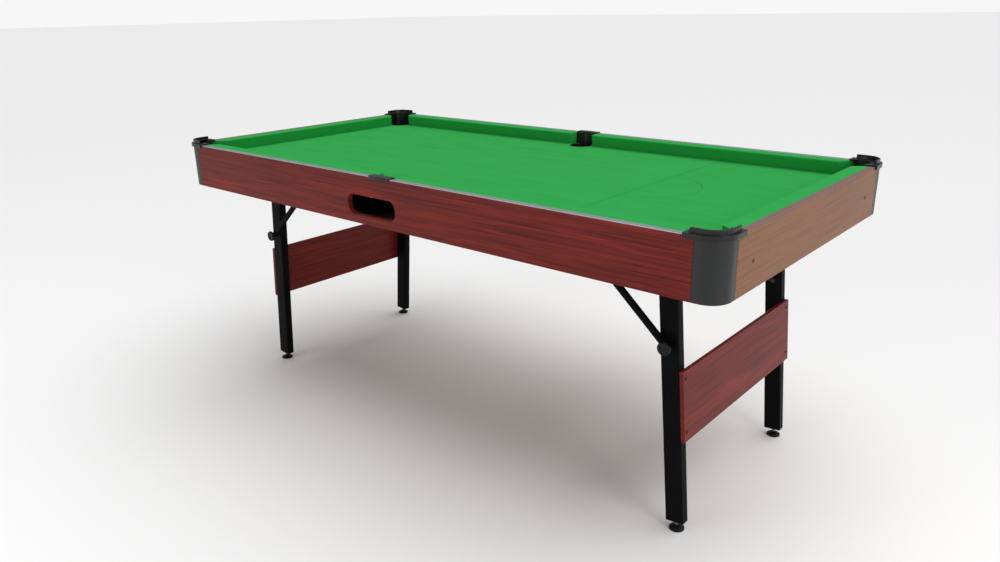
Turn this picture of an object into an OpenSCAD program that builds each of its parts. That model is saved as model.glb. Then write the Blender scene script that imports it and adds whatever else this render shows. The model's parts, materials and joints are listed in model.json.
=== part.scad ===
// Six-foot folding-leg pool table with drop pockets and a ball return.
// Origin: floor, under the middle of the table. +X runs along the length, the hand slot is on the -Y side.

/* [Table] */
// Length over the end aprons
table_l = 1830; // [1790:10:2400]
// Width over the long aprons
table_w = 915; // [860:5:1200]
// Height of the aprons' top edge above the floor
apron_top = 764; // [700:1:920]
// Radius of the rounded table corners
corner_r = 46; // [36:1:56]

/* [Aprons] */
// Height of an apron board
apron_h = 127; // [122:1:160]
// Thickness of an apron board
apron_t = 15; // [12:1:18]
// Thickness of the trim strip on the aprons' top edge
trim_t = 2; // [1:0.5:4]
// Length of the hand slot
slot_l = 180; // [140:5:220]
// Height of the hand slot
slot_h = 52; // [50:1:56]
// Corner radius of the hand slot
slot_r = 22; // [8:1:24]
// Middle of the hand slot, from the middle of the table
slot_x = -38; // [-60:1:60]

/* [Bed] */
// Diameter of the balls that the pockets and channels are made for
ball_d = 48; // [44:1:52]
// Thickness of the bed board
bed_t = 12; // [9:1:18]
// Thickness of the bed cloth
cloth_t = 1; // [0.6:0.1:2]
// Height of the trim's top above the cloth
rail_h = 36; // [34:1:44]
// Section of a batten under the bed, width and depth
batten = [40, 20];
// Section of the strip that carries each end of the bed, thickness and height
ledger = [18, 40];

/* [Cushions] */
// Width from the table's outer face to the cushion nose
cushion_w = 54.4; // [48:0.2:62]
// How far the foot of the cushion face stands back from the nose
cushion_undercut = 7.2; // [3:0.2:12]
// Width of the timber rail inside a cushion, from the apron's inner face
rail_w = 21; // [14:1:26]
// Thickness of the cushion cloth
cover_t = 1.2; // [0.8:0.1:2]
// Distance from the table corner to the cushion nose's end
corner_nose = 100; // [96:1:114]
// Angle between a cushion and its jaw at a corner pocket
corner_jaw = 55; // [52:1:60]
// Distance from the middle to the cushion nose's end at a side pocket
side_nose = 42; // [38:1:50]
// Angle between a side pocket's jaw and the square cut
side_jaw = 12; // [5:1:20]

/* [Pockets] */
// Radius of a corner pocket's throat
corner_throat = 34; // [28:0.5:35]
// Distance of a corner pocket's middle from the inner faces of its two aprons
pocket_inset = 39.5; // [38:0.5:41]
// Radius of a side pocket's throat
side_throat = 33; // [28:0.5:34]
// Wall of a pocket's throat
throat_t = 2.5; // [2:0.5:4]
// Wall of a corner cover
cover_wall = 3; // [2:0.5:5]
// Length of a corner cover along each side
cover_reach = 60; // [57:1:75]
// Length of a pocket flange along each side
flange_reach = 82; // [78:1:96]
// Width of a pocket flange on top of the rails
flange_w = 26; // [20:1:30]
// Thickness of a pocket flange
flange_t = 4; // [3:0.5:6]
// How far a pocket flange stands out past the aprons
flange_over = 5; // [3:0.5:8]
// Depth of the flange's skirt below the trim
skirt_h = 7; // [5:0.5:12]
// Height of the raised lip on a corner flange
lip_h = 10; // [6:0.5:14]
// Thickness of the raised lip
lip_t = 5; // [3:0.5:7]
// Length of the raised lip along each side
lip_reach = 70; // [60:1:76]

/* [Ball return] */
// Clear width of a front or rear channel
gully_w = 68; // [56:1:70]
// Clear width of the cross channel, which passes between the folded feet
cross_w = 52; // [48:1:56]
// Height of a channel's sides above its floor
gully_side = 30; // [20:1:34]
// Wall of a channel
gully_t = 2; // [1.5:0.5:3]
// Fall of a front channel
front_fall = 14; // [10:1:16]
// Fall of a rear channel
rear_fall = 8; // [6:1:9]
// Fall of the cross channel
cross_fall = 7; // [5:1:8]
// Depth of the ball box behind the front apron
box_d = 112; // [100:1:130]
// Height of the ball box's sides
box_side = 56; // [50:1:60]

/* [Legs] */
// Width over one pair of legs
leg_set_w = 580; // [500:5:600]
// Tube section along the table
leg_w = 45; // [38:1:50]
// Tube section across the table
leg_d = 25; // [18:1:30]
// Tube wall
leg_wall = 1.5; // [1:0.1:2.5]
// Outward splay of the legs, in degrees
splay = 5; // [2:0.5:8]
// Distance of the leg hinge from the table's end
hinge_inset = 204; // [190:1:230]
// Distance of the leg hinge below the bed board
hinge_drop = 47; // [44:1:52]
// Height of the leg's end above the floor
foot_h = 24; // [22:1:34]
// Height of a stretcher panel
stretcher_h = 170; // [120:5:200]
// Thickness of a stretcher panel
stretcher_t = 10; // [8:1:12]
// Distance down the leg from the hinge to the stretcher
stretcher_drop = 269; // [250:5:320]

/* [Struts] */
// Strut section, width and thickness
strut = [13, 11];
// Clear gap between a strut and the head of the leg's pin beside it
strut_gap = 0.8; // [0.5:0.1:6]
// Distance down the leg from the hinge to the lock knob
knob_drop = 212; // [180:1:230]
// Distance from the leg hinge to the strut's pivot, along the table
strut_back = 250; // [200:1:270]
// Distance of the strut's pivot below the bed board
strut_drop = 18; // [17:1:22]
// Radius of a lock knob
knob_r = 16; // [12:0.5:17]
// Thickness of a lock knob's grip
knob_grip = 8; // [6:0.5:14]
// Length of a lock knob's collar
knob_neck = 2; // [2:0.5:6]

/* [Fasteners] */
// Radius of the pivot pins and threaded studs
pin_r = 4; // [3:0.5:5]
// Radial clearance of a pin in what turns or slides on it
fit = 0.05; // [0.02:0.01:0.1]
// Radius of the wood screws
screw_r = 2; // [1.5:0.5:2.5]
// Clearance between neighbouring moving pieces
gap = 0.3; // [0.3:0.1:0.6]

/* [Hidden] */
$fn = 64;
cut_h = 100;
half_l = table_l / 2;
half_w = table_w / 2;
trim_top = apron_top + trim_t;
apron_bot = apron_top - apron_h;
bed_top = trim_top - rail_h;
board_top = bed_top - cloth_t;
board_bot = board_top - bed_t;
flange_top = trim_top + flange_t;
jaw_run = (cushion_w - apron_t) / tan(corner_jaw);
rail_in = apron_t + rail_w;

// Pockets: clearance of a throat in the bed, its depth below the board, and the rim it hangs by
throat_fit = 0.2;
ring_bot = board_bot - 12;
rim_w = 4;
rim_h = 1.5;
jaw_gap = 0.5;
corner_pocket_in = apron_t + pocket_inset;
side_set_back = 2.5;
side_inset = apron_t + throat_t + side_set_back + side_throat;

// Side flange: half length, how far it stands out in the middle and at its ends, and its jaws' depth
side_half = flange_reach / 2 - 3;
side_over = flange_over + 1;
side_over_end = 1.5;
side_back = 27;

// Ball return: room over a ball, steps down into the box, and where the channels end
ball_room = 5;
gully_top = board_bot - ball_d - ball_room;
front_low = gully_top - front_fall;
cross_step = 1;
cross_top = gully_top - rear_fall - cross_step;
cross_low = cross_top - cross_fall;
gully_y = half_w - corner_pocket_in;
gully_out = gully_w / 2 + gully_t;
gully_end_gap = 4;
gully_end = half_l - apron_t - gully_end_gap;
mouth_gap = 1.2;
box_step = 4;
box_floor = min(front_low, cross_low) - box_step;
box_margin = 14;
box_l = slot_l + box_margin;
box_back = half_w - apron_t - box_d;
slot_sill = 16;
slot_z = box_floor + slot_sill + slot_h / 2;

// Legs: the hinge line, and the tube's place across the table
hinge_x = half_l - hinge_inset;
hinge_z = board_bot - hinge_drop;
leg_len = (hinge_z - foot_h) / cos(splay);
leg_y = leg_set_w / 2 - leg_d / 2;
crossbar = 22;
crossbar_drop = 49;
foot_pivot = 8;

// Brackets: sheet thickness, half length of each foot, and radius of each ear
bracket_t = 2.5;
bracket_in = leg_set_w / 2 - leg_d - gap - bracket_t;
bracket_out = leg_set_w / 2 + gap + bracket_t;
leg_bracket = [30, 14];
strut_bracket = [18, 11];
strut_bracket_w = 22;
pin_head = [7, 2.4];

// Struts: their plane, their upper pivots, and the knobs' axis
strut_y = bracket_out + pin_head[1] + strut_gap + strut[1] / 2;
strut_face = strut_y + strut[1] / 2 + gap;
strut_x = hinge_x - strut_back;
strut_z = board_bot - strut_drop;
knob_x = hinge_x + knob_drop * sin(splay);
knob_z = hinge_z - knob_drop * cos(splay);
strut_len = norm([knob_x - strut_x, strut_z - knob_z]);
strut_angle = atan2(strut_z - knob_z, knob_x - strut_x);
stud_clear = 0.4;

// Fasteners: heads as [radius, height]
nut = [7, 5];
nut_tail = 2;
bolt_head = [7, 4];
flange_head = [3.2, 1];
end_head = [4, 1];
stretcher_head = [4, 1.5];
flange_screw_l = 14;
ledger_bite = 12;
end_screw_y = 327;
end_screw_z = board_bot - ledger[1] / 2;
flange_screw = flange_reach - 9;
stretcher_screw_drops = [20, stretcher_h - 22];

// Battens: places along the table, and the room between their ends and the channels
batten_first = 180;
batten_room = 23;
channel_room = 20;
batten_places = [batten_first, strut_x - strut_bracket[0] - batten_room - batten[0] / 2];
batten_l = 2 * (gully_y - gully_out - channel_room);
SIDES = [["left", -1], ["right", 1]];

// ---- placing ----

// Turns a shape made for the right rear quarter into the quarter named by two signs
module quarter(sx, sy) {
  mirror([sx < 0 ? 1 : 0, 0, 0]) mirror([0, sy < 0 ? 1 : 0, 0]) children();
}

// A corner's own frame: the square corner of the outer faces is at the origin, the table lies in -X -Y
module corner(sx, sy) {
  quarter(sx, sy) translate([half_l, half_w, 0]) children();
}

// A long side's own frame: x along the table, the outer face at y = 0, the table in -Y
module long_side(sy) {
  quarter(1, sy) translate([0, half_w, 0]) children();
}

// Every corner in turn
module each_corner() {
  for (sx = [-1, 1], sy = [-1, 1]) quarter(sx, sy) children();
}

// A leg set's own frame: origin on the hinge line, the legs run down -Z with the splay
module leg_set(sx) {
  quarter(sx, 1) translate([hinge_x, 0, hinge_z]) rotate([0, -splay, 0]) children();
}

// ---- plain shapes ----

// Flat rectangle with round corners, centred
module round_rect(w, h, r) {
  square([w - 2 * r, h], center = true);
  square([w, h - 2 * r], center = true);
  for (x = [-1, 1], y = [-1, 1]) translate([x * (w / 2 - r), y * (h / 2 - r)]) circle(r);
}

// A corner of the table in plan, faces standing out by e, cut off square at reach
module corner_plan(reach, e) {
  difference() {
    translate([-reach, -reach]) square(reach + e);
    difference() {
      translate([-corner_r, -corner_r]) square(corner_r + e + 1);
      translate([-corner_r, -corner_r]) circle(corner_r + e);
    }
  }
}

// A strip that follows the table's corner, between two offsets of its faces
module corner_strip(reach, outer, inner) {
  difference() {
    corner_plan(reach, outer);
    corner_plan(reach + 1, inner);
  }
}

// A cylinder across the table, from y0 to y1
module across(x, z, r, y0, y1) {
  translate([x, y1, z]) rotate([90, 0, 0]) cylinder(r = r, h = y1 - y0);
}

// ---- aprons, trims and bed ----

module apron_board(len) {
  translate([-len / 2, -apron_t, apron_bot]) cube([len, apron_t, apron_h]);
}

// Screw holes through the pocket flanges, trims and aprons, in a corner's frame
module flange_screw_holes(depth) {
  for (swap = [0, 1]) {
    mirror([swap, -swap, 0])
      translate([-flange_screw, -apron_t / 2, flange_top - depth]) cylinder(r = screw_r, h = depth + 1);
  }
}

module long_apron(sy) {
  color("sienna") difference() {
    long_side(sy) apron_board(table_l - 2 * cover_reach);
    for (sx = [-1, 1]) corner(sx, sy) flange_screw_holes(flange_screw_l + 2);
    if (sy < 0) {
      translate([slot_x, -half_w - 1, slot_z]) rotate([-90, 0, 0])
        linear_extrude(apron_t + 2) round_rect(slot_l, slot_h, slot_r);
    }
  }
}
module front_apron() long_apron(-1);
module rear_apron() long_apron(1);

module end_apron(sx) {
  color("peru") difference() {
    quarter(sx, 1) translate([half_l, 0, 0]) rotate([0, 0, -90]) apron_board(table_w - 2 * cover_reach);
    for (sy = [-1, 1]) corner(sx, sy) flange_screw_holes(flange_screw_l + 2);
    end_screws(sx, 1);
  }
}
module left_apron() end_apron(-1);
module right_apron() end_apron(1);

module trim_strip(len) {
  translate([-len / 2, -apron_t, apron_top]) cube([len, apron_t, trim_t]);
}
module long_trims() {
  color("lightsteelblue") difference() {
    for (sy = [-1, 1]) long_side(sy) trim_strip(table_l - 2 * cover_reach);
    each_corner() translate([half_l, half_w, 0]) flange_screw_holes(flange_screw_l + 2);
  }
}
module end_trims() {
  color("rosybrown") difference() {
    for (sx = [-1, 1]) {
      quarter(sx, 1) translate([half_l, 0, 0]) rotate([0, 0, -90]) trim_strip(table_w - 2 * cover_reach);
    }
    each_corner() translate([half_l, half_w, 0]) flange_screw_holes(flange_screw_l + 2);
  }
}

// The bed's outline with its six pocket holes
module bed_plan() {
  difference() {
    round_rect(table_l - 2 * apron_t, table_w - 2 * apron_t, corner_r - apron_t);
    each_corner() translate([half_l - corner_pocket_in, half_w - corner_pocket_in])
      circle(corner_throat + throat_t + throat_fit);
    for (sy = [-1, 1]) translate([0, sy * (half_w - side_inset)]) circle(side_throat + throat_t + throat_fit);
  }
}
module bed_board() {
  color("burlywood") translate([0, 0, board_bot]) linear_extrude(bed_t) bed_plan();
}
module bed_cloth() {
  color("mediumseagreen") translate([0, 0, board_top]) linear_extrude(cloth_t) bed_plan();
}

// Cross battens and the two strips that carry the ends of the bed
module bed_battens() {
  color("tan") difference() {
    union() {
      for (sx = [-1, 1], x = batten_places) {
        translate([sx * x - batten[0] / 2, -batten_l / 2, board_bot - batten[1]])
          cube([batten[0], batten_l, batten[1]]);
      }
      for (sx = [-1, 1]) quarter(sx, 1) {
        translate([half_l - apron_t - ledger[0], -batten_l / 2, board_bot - ledger[1]])
          cube([ledger[0], batten_l, ledger[1]]);
      }
    }
    for (sx = [-1, 1]) end_screws(sx, 1);
  }
}

// Timber insert that joins two aprons behind each corner cover
module corner_blocks() {
  color("burlywood") each_corner() translate([half_l, half_w, apron_bot + 2])
    linear_extrude(apron_h - 2) corner_strip(cover_reach, -cover_wall, -apron_t);
}

// The two screws through an end apron into its ledger; as holes they have no heads
module end_screws(sx, hole) {
  for (sy = [-1, 1]) quarter(sx, sy) {
    translate([half_l - apron_t - ledger_bite, end_screw_y, end_screw_z]) rotate([0, 90, 0])
      cylinder(r = screw_r, h = apron_t + ledger_bite);
    if (hole == 0) translate([half_l, end_screw_y, end_screw_z]) rotate([0, 90, 0])
      cylinder(r = end_head[0], h = end_head[1]);
  }
}
module frame_screws() {
  color("dimgray") {
    for (sx = [-1, 1]) end_screws(sx, 0);
    each_corner() translate([half_l, half_w, 0]) for (swap = [0, 1]) mirror([swap, -swap, 0])
      translate([-flange_screw, -apron_t / 2, flange_top - flange_screw_l]) {
        cylinder(r = screw_r, h = flange_screw_l);
        translate([0, 0, flange_screw_l]) cylinder(r = flange_head[0], h = flange_head[1]);
      }
  }
}

// ---- pockets ----

module corner_cover(sx, sy) {
  color("#1b1c1d") corner(sx, sy) translate([0, 0, apron_bot]) linear_extrude(apron_h)
    corner_strip(cover_reach, 0, -cover_wall);
}

// Everything in front of the back wall of a corner pocket, in plan
module pocket_front() {
  rotate([0, 0, 45]) translate([-cover_reach - 200, -150]) square([200, 300]);
}

// The space between a corner pocket's two jaws, less a little clearance
module jaw_wedge() {
  a = [-cushion_w, -corner_nose + jaw_gap];
  b = [-apron_t, -corner_nose + jaw_run + jaw_gap];
  polygon([a, b, [0, 0], [b[1], b[0]], [a[1], a[0]]]);
}

// A throat before it is bored: a tube down through the bed and the rim that hangs it on the cloth
module throat_ring(r, from, turn) {
  rim_z = bed_top - ring_bot;
  cylinder(r = r + throat_t, h = rim_z + 0.5);
  translate([0, 0, rim_z]) rotate([0, 0, from])
    rotate_extrude(angle = turn) translate([r - 2, 0]) square([rim_w + 2, rim_h]);
}

module corner_pocket(sx, sy) {
  color("#141516") corner(sx, sy) difference() {
    union() {
      translate([0, 0, trim_top]) linear_extrude(flange_t) difference() {
        corner_plan(flange_reach, flange_over);
        intersection() {
          translate([-flange_reach - 1, -flange_reach - 1]) square(flange_reach + 1 - flange_w);
          pocket_front();
        }
      }
      translate([0, 0, trim_top - skirt_h]) linear_extrude(skirt_h)
        corner_strip(flange_reach, flange_over, 0);
      translate([0, 0, flange_top]) linear_extrude(lip_h) corner_strip(lip_reach, -1, -1 - lip_t);
      translate([0, 0, bed_top]) linear_extrude(rail_h) difference() {
        intersection() {
          corner_plan(cover_reach + 20, -apron_t);
          jaw_wedge();
        }
        pocket_front();
      }
      translate([-corner_pocket_in, -corner_pocket_in, ring_bot])
        throat_ring(corner_throat, 165, 120);
    }
    translate([-corner_pocket_in, -corner_pocket_in, ring_bot - 1]) cylinder(r = corner_throat, h = cut_h);
    flange_screw_holes(flange_t + 1);
  }
}

// Half width of the opening between a side pocket's jaws, at a distance u in from the outer face
function side_jaw_x(u) = side_nose - (cushion_w - u) * tan(side_jaw);

// Outline of a side flange's front edge: an arc that stands out most in the middle
module side_bulge() {
  rise = side_over - side_over_end;
  arc = (side_half * side_half + rise * rise) / (2 * rise);
  translate([0, side_over - arc]) circle(arc);
}

module side_pocket(sy) {
  outer = side_jaw_x(apron_t) - jaw_gap;
  inner = side_jaw_x(side_back) - jaw_gap;
  color("#141516") long_side(sy) difference() {
    union() {
      translate([0, 0, trim_top]) linear_extrude(flange_t - 1) intersection() {
        translate([-side_half, -apron_t - 5]) square([2 * side_half, apron_t + 5 + side_over]);
        side_bulge();
      }
      translate([0, 0, trim_top - skirt_h + 1]) linear_extrude(skirt_h - 1) intersection() {
        translate([-side_half, 0]) square([2 * side_half, side_over]);
        side_bulge();
      }
      translate([0, 0, bed_top]) linear_extrude(rail_h)
        polygon([[-outer, -apron_t], [outer, -apron_t], [inner, -side_back], [-inner, -side_back]]);
      translate([0, -side_inset, ring_bot]) throat_ring(side_throat, 215, 110);
    }
    translate([0, -side_inset, ring_bot - 1]) cylinder(r = side_throat, h = cut_h);
  }
}

// ---- cushions ----

// Section of a cushion as [distance in from the outer face, height], shrunk by s on the cloth's side
function cushion_section(s, back, foot) = [
  [back, trim_top - s], [cushion_w - 2.2 - s / 2, trim_top - s], [cushion_w - s, trim_top - 2.2 - s / 2],
  [cushion_w - s, trim_top - 3.6], [cushion_w - cushion_undercut - s, foot], [back, foot]
];

// Plan of a long cushion as [distance along the table, distance in from the outer face]
function long_plan(g, back) = [
  [side_nose + g, cushion_w], [half_l - corner_nose - g, cushion_w],
  [half_l - corner_nose - g + (cushion_w - back) / tan(corner_jaw), back],
  [side_nose + g - (cushion_w - back) * tan(side_jaw), back]
];

// Plan of an end cushion in the same form
function end_plan(g, back) = [
  [-half_w + corner_nose + g, cushion_w], [half_w - corner_nose - g, cushion_w],
  [half_w - corner_nose - g + (cushion_w - back) / tan(corner_jaw), back],
  [-half_w + corner_nose + g - (cushion_w - back) / tan(corner_jaw), back]
];

// A section carried along X and trimmed to a plan
module cushion_run(section, plan) {
  intersection() {
    translate([-half_l, 0, 0]) rotate([90, 0, 90]) linear_extrude(table_l) polygon(section);
    translate([0, 0, bed_top - 10]) linear_extrude(rail_h + 20) polygon(plan);
  }
}

// Turns a run made along X, inwards along +Y, to a long side or to an end of the table
module to_long(sx, sy) {
  quarter(sx, sy) translate([0, half_w, 0]) mirror([0, 1, 0]) children();
}
module to_end(sx) {
  quarter(sx, 1) translate([half_l, 0, 0]) rotate([0, 0, 90]) children();
}

module cloth_skin(plan_out, plan_in) {
  difference() {
    cushion_run(cushion_section(0, apron_t, bed_top), plan_out);
    cushion_run(cushion_section(cover_t, apron_t - 1, bed_top - 1), plan_in);
  }
}
module cushion_cloth(sx, sy) {
  color("seagreen") to_long(sx, sy) cloth_skin(long_plan(0, apron_t), long_plan(cover_t * 1.3, apron_t - 1));
}
module end_cushion_cloth(sx) {
  color("seagreen") to_end(sx) cloth_skin(end_plan(0, apron_t), end_plan(cover_t * 1.3, apron_t - 1));
}

// Rubber: the cushion's section in front of its timber rail
module rubber_run(plan) {
  difference() {
    cushion_run(cushion_section(cover_t, rail_in, bed_top + cover_t), plan);
    translate([-half_l, 0, bed_top - 1]) cube([table_l, rail_in, rail_h + 2]);
  }
}
module cushion_rubbers() {
  color("darkslategray") {
    for (sx = [-1, 1], sy = [-1, 1]) to_long(sx, sy) rubber_run(long_plan(cover_t * 1.3, apron_t));
    for (sx = [-1, 1]) to_end(sx) rubber_run(end_plan(cover_t * 1.3, apron_t));
  }
}
module rail_run(plan) {
  rail_top = trim_top - cover_t;
  cushion_run([[apron_t, bed_top], [rail_in, bed_top], [rail_in, rail_top], [apron_t, rail_top]], plan);
}
module cushion_rails() {
  color("burlywood") {
    for (sx = [-1, 1], sy = [-1, 1]) to_long(sx, sy) rail_run(long_plan(cover_t * 1.3, apron_t));
    for (sx = [-1, 1]) to_end(sx) rail_run(end_plan(cover_t * 1.3, apron_t));
  }
}

// ---- ball return ----

// A sloping channel: its low end is open at the origin, it climbs along +X and is closed at the top end
module gully(len, fall, clear) {
  half = clear / 2 + gully_t;
  rotate([0, -asin(fall / len), 0]) difference() {
    translate([0, -half, -gully_t]) cube([len, 2 * half, gully_side + gully_t]);
    translate([-1, -clear / 2, 0]) cube([len + 1 - gully_t, clear, gully_side + 1]);
  }
}

// The space inside the aprons, whose round corners trim the channels' ends
module inside_aprons() {
  translate([0, 0, apron_bot]) linear_extrude(apron_h)
    round_rect(table_l - 2 * apron_t - gap, table_w - 2 * apron_t - gap, corner_r - apron_t);
}
module front_gullies() {
  color("dimgray") intersection() {
    inside_aprons();
    for (sx = [-1, 1]) front_gully(sx);
  }
}
module front_gully(sx) {
  start = sx * slot_x + box_l / 2 + mouth_gap;
  quarter(sx, -1) translate([start, gully_y, front_low]) gully(gully_end - start, front_fall, gully_w);
}
module rear_gullies() {
  start = cross_w / 2 + gully_t + mouth_gap;
  color("dimgray") intersection() {
    inside_aprons();
    for (sx = [-1, 1]) {
      quarter(sx, 1) translate([start, gully_y, cross_top + cross_step])
        gully(gully_end - start, rear_fall, gully_w);
    }
  }
}
module cross_gully() {
  start = -box_back + mouth_gap;
  color("dimgray") difference() {
    translate([0, start, cross_low]) rotate([0, 0, 90])
      gully(gully_y + gully_out - start, cross_fall, cross_w);
    translate([-50, gully_y - gully_w / 2, cross_top - 0.5]) cube([100, gully_w, 60]);
  }
}

// Open-topped box behind the hand slot, with mouths for the three channels that feed it
module ball_box() {
  color("#202122") difference() {
    translate([slot_x - box_l / 2, -half_w + apron_t, box_floor - gully_t])
      cube([box_l, box_d, box_side + gully_t]);
    translate([slot_x - box_l / 2 + gully_t, -half_w + apron_t - 1, box_floor])
      cube([box_l - 2 * gully_t, box_d + 1 - gully_t, box_side + 1]);
    translate([slot_x - box_l, -gully_y - gully_w / 2, front_low])
      cube([2 * box_l, gully_w, box_side]);
    translate([-cross_w / 2, -box_back - 10, cross_low]) cube([cross_w, 20, box_side]);
  }
}

// ---- leg hardware on the bed ----

// One ear of a bracket, rounded about its pin, with the pin's hole
module bracket_ear(x, z, r, y) {
  difference() {
    union() {
      translate([x - r, y, z]) cube([2 * r, bracket_t, board_bot - z]);
      across(x, z, r, y, y + bracket_t);
    }
    across(x, z, pin_r, y - 1, y + bracket_t + 1);
  }
}

// A channel with an ear on each side of the leg
module leg_brackets() {
  color("#2a2b2c") each_corner() {
    translate([hinge_x - leg_bracket[0], bracket_in, board_bot - bracket_t])
      cube([2 * leg_bracket[0], bracket_out - bracket_in, bracket_t]);
    for (y = [bracket_in, bracket_out - bracket_t]) bracket_ear(hinge_x, hinge_z, leg_bracket[1], y);
  }
}

// An angle whose ear stands outside the strut
module strut_brackets() {
  color("#2a2b2c") each_corner() {
    translate([strut_x - strut_bracket[0], strut_face, board_bot - bracket_t])
      cube([2 * strut_bracket[0], strut_bracket_w, bracket_t]);
    bracket_ear(strut_x, strut_z, strut_bracket[1], strut_face);
  }
}

// A headed pin across y0..y1, with a head beyond each end
module headed_pin(x, z, y0, y1) {
  across(x, z, pin_r, y0, y1);
  across(x, z, pin_head[0], y0 - pin_head[1], y0);
  across(x, z, pin_head[0], y1, y1 + pin_head[1]);
}
module pivot_pins() {
  color("silver") each_corner() {
    headed_pin(hinge_x, hinge_z, bracket_in, bracket_out);
    headed_pin(strut_x, strut_z, strut_y - strut[1] / 2 - gap, strut_face + bracket_t);
  }
}

// ---- legs ----

// Screw holes through the stretcher into one leg tube, in the leg set's frame
module stretcher_screw_holes(y) {
  for (drop = stretcher_screw_drops) {
    translate([leg_w / 2 - leg_wall - 1, y, -stretcher_drop - drop]) rotate([0, 90, 0])
      cylinder(r = screw_r, h = stretcher_t + leg_wall + 2);
  }
}

module leg_tube(sx, sy) {
  top = leg_w / 2 - 2;
  color("#161719") leg_set(sx) difference() {
    translate([0, sy * leg_y, -leg_len]) linear_extrude(leg_len + top) difference() {
      round_rect(leg_w, leg_d, 2.5);
      round_rect(leg_w - 2 * leg_wall, leg_d - 2 * leg_wall, 1);
    }
    across(0, 0, pin_r + fit, sy * leg_y - leg_d, sy * leg_y + leg_d);
    across(0, -knob_drop, pin_r + fit, sy * leg_y - leg_d, sy * leg_y + leg_d);
    stretcher_screw_holes(sy * leg_y);
  }
}

module leg_crossbar(sx) {
  length = leg_set_w - 2 * leg_d;
  inside = crossbar - 2 * leg_wall;
  color("#161719") leg_set(sx) translate([0, length / 2, -crossbar_drop]) rotate([90, 0, 0])
    linear_extrude(length) difference() {
      round_rect(crossbar, crossbar, 2);
      round_rect(inside, inside, 1);
    }
}

module stretcher(sx) {
  color("#7b4744") leg_set(sx) difference() {
    translate([leg_w / 2, -leg_set_w / 2, -stretcher_drop - stretcher_h])
      cube([stretcher_t, leg_set_w, stretcher_h]);
    for (sy = [-1, 1]) stretcher_screw_holes(sy * leg_y);
  }
}

// Fixings of a leg set: the stretcher's screws, and at each strut a nut whose stud fills the tube
module leg_fasteners(sx) {
  color("silver") leg_set(sx) for (sy = [-1, 1]) {
    for (drop = stretcher_screw_drops) {
      translate([leg_w / 2 - leg_wall, sy * leg_y, -stretcher_drop - drop]) rotate([0, 90, 0]) {
        cylinder(r = screw_r, h = stretcher_t + leg_wall);
        translate([0, 0, stretcher_t + leg_wall]) cylinder(r = stretcher_head[0], h = stretcher_head[1]);
      }
    }
    quarter(1, sy) {
      inner = leg_set_w / 2 - leg_d;
      across(0, -knob_drop, pin_r, inner - nut[1] - nut_tail, leg_set_w / 2);
      across(0, -knob_drop, nut[0], inner - nut[1], inner);
    }
  }
}

// Moulded plug in the open end of each tube, with the thread for the levelling foot
module leg_plugs(sx) {
  plug_h = 18;
  color("#101112") leg_set(sx) for (sy = [-1, 1]) translate([0, sy * leg_y, -leg_len]) difference() {
    union() {
      linear_extrude(plug_h) round_rect(leg_w - 2 * leg_wall, leg_d - 2 * leg_wall, 1);
      translate([0, 0, -2]) linear_extrude(2) round_rect(leg_w, leg_d, 2.5);
    }
    translate([0, 0, -3]) cylinder(r = pin_r + fit, h = plug_h + 4);
  }
}

// ---- struts, knobs and feet ----

module strut_bar(sx, sy) {
  color("#161719") quarter(sx, sy) translate([strut_x, strut_y + strut[1] / 2, strut_z])
    rotate([90, strut_angle, 0]) linear_extrude(strut[1]) difference() {
      union() {
        translate([0, -strut[0] / 2]) square([strut_len, strut[0]]);
        circle(strut[0] / 2);
        translate([strut_len, 0]) circle(strut[0] / 2);
      }
      circle(pin_r + fit);
      translate([strut_len, 0]) circle(pin_r + fit);
    }
}

// The stud that ties a strut to its leg, which ends just short of the leg tube
module strut_stud(out) {
  across(knob_x, knob_z, pin_r, leg_set_w / 2 + stud_clear, out);
}

// A round hand knob with its stud, on a front leg
module knob(sx) {
  collar_end = strut_face + knob_neck;
  color("#101112") quarter(sx, -1) {
    strut_stud(strut_face + 1);
    across(knob_x, knob_z, knob_r * 0.55, strut_face, collar_end);
    across(knob_x, knob_z, knob_r, collar_end, collar_end + knob_grip);
  }
}

// A plain bolt in the same place on a rear leg
module strut_bolt(sx) {
  color("#161719") quarter(sx, 1) {
    strut_stud(strut_face + 1);
    across(knob_x, knob_z, bolt_head[0], strut_face, strut_face + bolt_head[1]);
  }
}

// Levelling foot: a flat glide on the floor and a stud that follows the leg's slope
module foot(sx, sy) {
  glide_r = 18;
  down = (hinge_z - foot_pivot) / cos(splay);
  color("#101112") {
    quarter(sx, sy) translate([hinge_x + down * sin(splay), leg_y, 0]) {
      cylinder(r = glide_r, h = 4);
      translate([0, 0, 4]) cylinder(r1 = glide_r - 1, r2 = 8, h = 7);
    }
    leg_set(sx) translate([0, sy * leg_y, -down]) cylinder(r = pin_r, h = 46);
  }
}

// ---- drawing ----

front_apron();
rear_apron();
left_apron();
right_apron();
long_trims();
end_trims();
bed_board();
bed_cloth();
bed_battens();
corner_blocks();
frame_screws();
side_pocket(-1);  // side_pocket_front
side_pocket(1);  // side_pocket_rear
cushion_rubbers();
cushion_rails();
front_gullies();
rear_gullies();
cross_gully();
ball_box();
leg_brackets();
strut_brackets();
pivot_pins();
for (side = SIDES) {
  end = side[0];
  sx = side[1];
  end_cushion_cloth(sx);
  leg_crossbar(sx);
  stretcher(sx);
  leg_fasteners(sx);
  leg_plugs(sx);
  knob(sx);
  strut_bolt(sx);
  for (row = [["front", -1], ["rear", 1]]) {
    long = row[0];
    sy = row[1];
    corner_cover(sx, sy);
    corner_pocket(sx, sy);
    cushion_cloth(sx, sy);
    leg_tube(sx, sy);
    strut_bar(sx, sy);
    foot(sx, sy);
  }
}
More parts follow.
